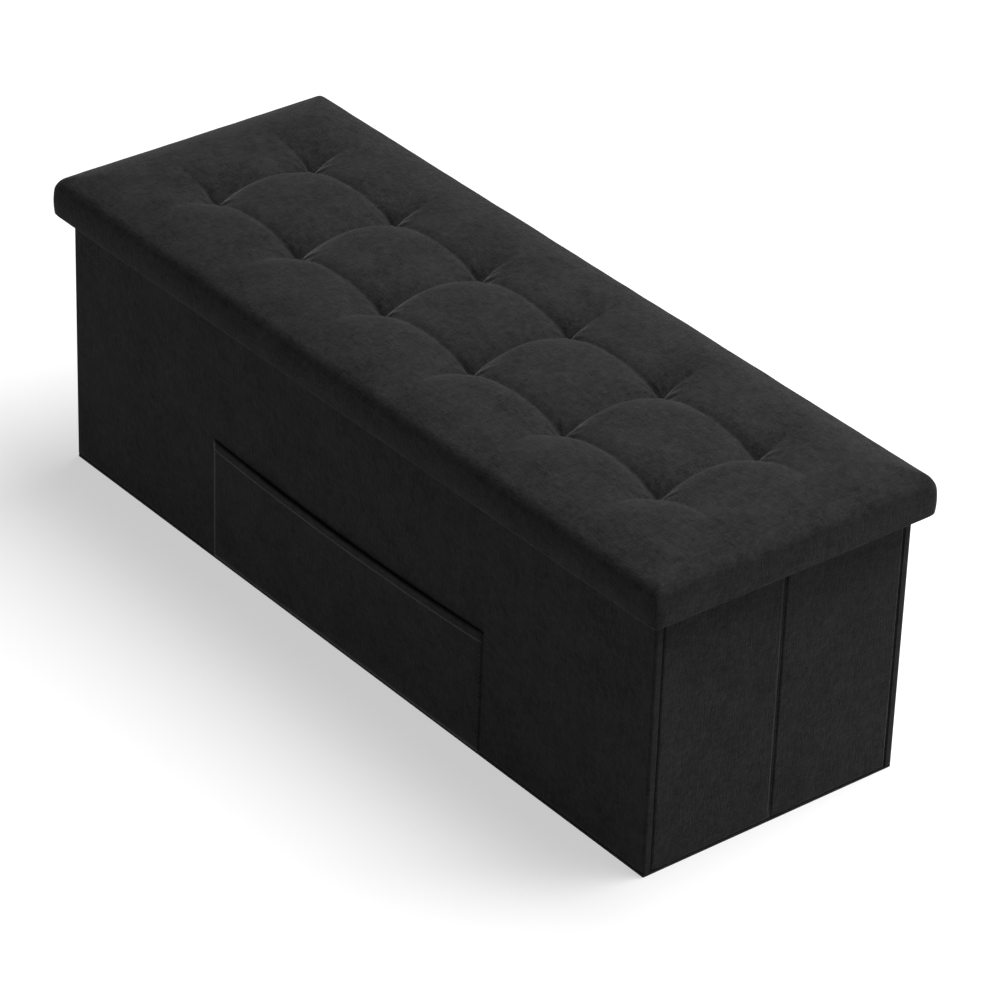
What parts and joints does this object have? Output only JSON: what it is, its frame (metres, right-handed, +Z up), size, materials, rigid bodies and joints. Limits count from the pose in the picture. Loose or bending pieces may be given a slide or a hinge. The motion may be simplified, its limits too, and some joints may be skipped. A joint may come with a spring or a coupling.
{
  "type": "storage ottoman",
  "caption": "Long folding storage bench covered in dark fabric, with a tufted padded lid, a patch pocket on the front and ends that fold inwards.",
  "frame": {"origin": "centre of the footprint, on the floor", "axes": "+X along the bench, +Y from the pocket side to the hinged back, +Z up"},
  "size_m": [1.1, 0.392, 0.3883],
  "materials": {
    "cover_fabric": "short brushed pile",
    "lining_fabric": "matte non-woven",
    "hinge_tape": "woven tape",
    "wadding": "soft felt",
    "foam": "open cell foam",
    "fibreboard": "raw fibreboard",
    "tuft_thread": "waxed twine",
    "anchor_plastic": "moulded",
    "staple_wire": "galvanised wire"
  },
  "bodies": {
    "back": {"back_board": "fibreboard", "back_wadding": "wadding", "back_cover": "cover_fabric", "back_lining": "lining_fabric", "base_board": "fibreboard", "base_wrap": "lining_fabric", "base_lining": "lining_fabric", "right_rear_corner_tape": "hinge_tape", "left_rear_corner_tape": "hinge_tape", "lid_hinge_tape": "hinge_tape"},
    "right_rear": {"right_rear_board": "fibreboard", "right_rear_wadding": "wadding", "right_rear_cover": "cover_fabric", "right_rear_lining": "lining_fabric", "right_fold_gusset": "cover_fabric"},
    "right_front": {"right_front_board": "fibreboard", "right_front_wadding": "wadding", "right_front_cover": "cover_fabric", "right_front_lining": "lining_fabric"},
    "front": {"front_board": "fibreboard", "front_wadding": "wadding", "front_cover": "cover_fabric", "front_lining": "lining_fabric", "front_pocket": "cover_fabric", "pocket_hem": "cover_fabric", "right_front_corner_tape": "hinge_tape", "left_front_corner_tape": "hinge_tape"},
    "left_rear": {"left_rear_board": "fibreboard", "left_rear_wadding": "wadding", "left_rear_cover": "cover_fabric", "left_rear_lining": "lining_fabric", "left_fold_gusset": "cover_fabric"},
    "left_front": {"left_front_board": "fibreboard", "left_front_wadding": "wadding", "left_front_cover": "cover_fabric", "left_front_lining": "lining_fabric"},
    "lid": {"lid_board": "fibreboard", "lid_foam": "foam", "lid_cover": "cover_fabric", "lid_lining": "lining_fabric", "lid_staples": "staple_wire", "tuft_threads": "tuft_thread", "tuft_anchors": "anchor_plastic"}
  },
  "joints": [
    {"name": "right_rear_fold", "type": "hinge", "parent": "back", "child": "right_rear", "pos_m": [0.5217, 0.1677, 0], "axis": [0, 0, -1], "range_deg": [0, 90], "deforming": ["right_rear_corner_tape"]},
    {"name": "right_middle_fold", "type": "hinge", "parent": "right_rear", "child": "right_front", "pos_m": [0.5323, 0, 0], "axis": [0, 0, 1], "range_deg": [0, 180], "deforming": ["right_fold_gusset"]},
    {"name": "right_front_fold", "type": "hinge", "parent": "right_front", "child": "front", "pos_m": [0.5217, -0.1677, 0], "axis": [0, 0, -1], "range_deg": [0, 90], "deforming": ["right_front_corner_tape"]},
    {"name": "left_rear_fold", "type": "hinge", "parent": "back", "child": "left_rear", "pos_m": [-0.5217, 0.1677, 0], "axis": [0, 0, 1], "range_deg": [0, 90], "deforming": ["left_rear_corner_tape"]},
    {"name": "left_middle_fold", "type": "hinge", "parent": "left_rear", "child": "left_front", "pos_m": [-0.5323, 0, 0], "axis": [0, 0, -1], "range_deg": [0, 180], "deforming": ["left_fold_gusset", "left_front_corner_tape"]},
    {"name": "lid_hinge", "type": "hinge", "parent": "back", "child": "lid", "pos_m": [0, 0.1784, 0.3286], "axis": [-1, 0, 0], "range_deg": [0, 90], "deforming": ["lid_hinge_tape"]}
  ],
  "couplings": [
    {"joint": "right_middle_fold", "follows": "right_rear_fold", "ratio": 2},
    {"joint": "right_front_fold", "follows": "right_rear_fold", "ratio": 1},
    {"joint": "left_rear_fold", "follows": "right_rear_fold", "ratio": 1},
    {"joint": "left_middle_fold", "follows": "right_rear_fold", "ratio": 2}
  ]
}
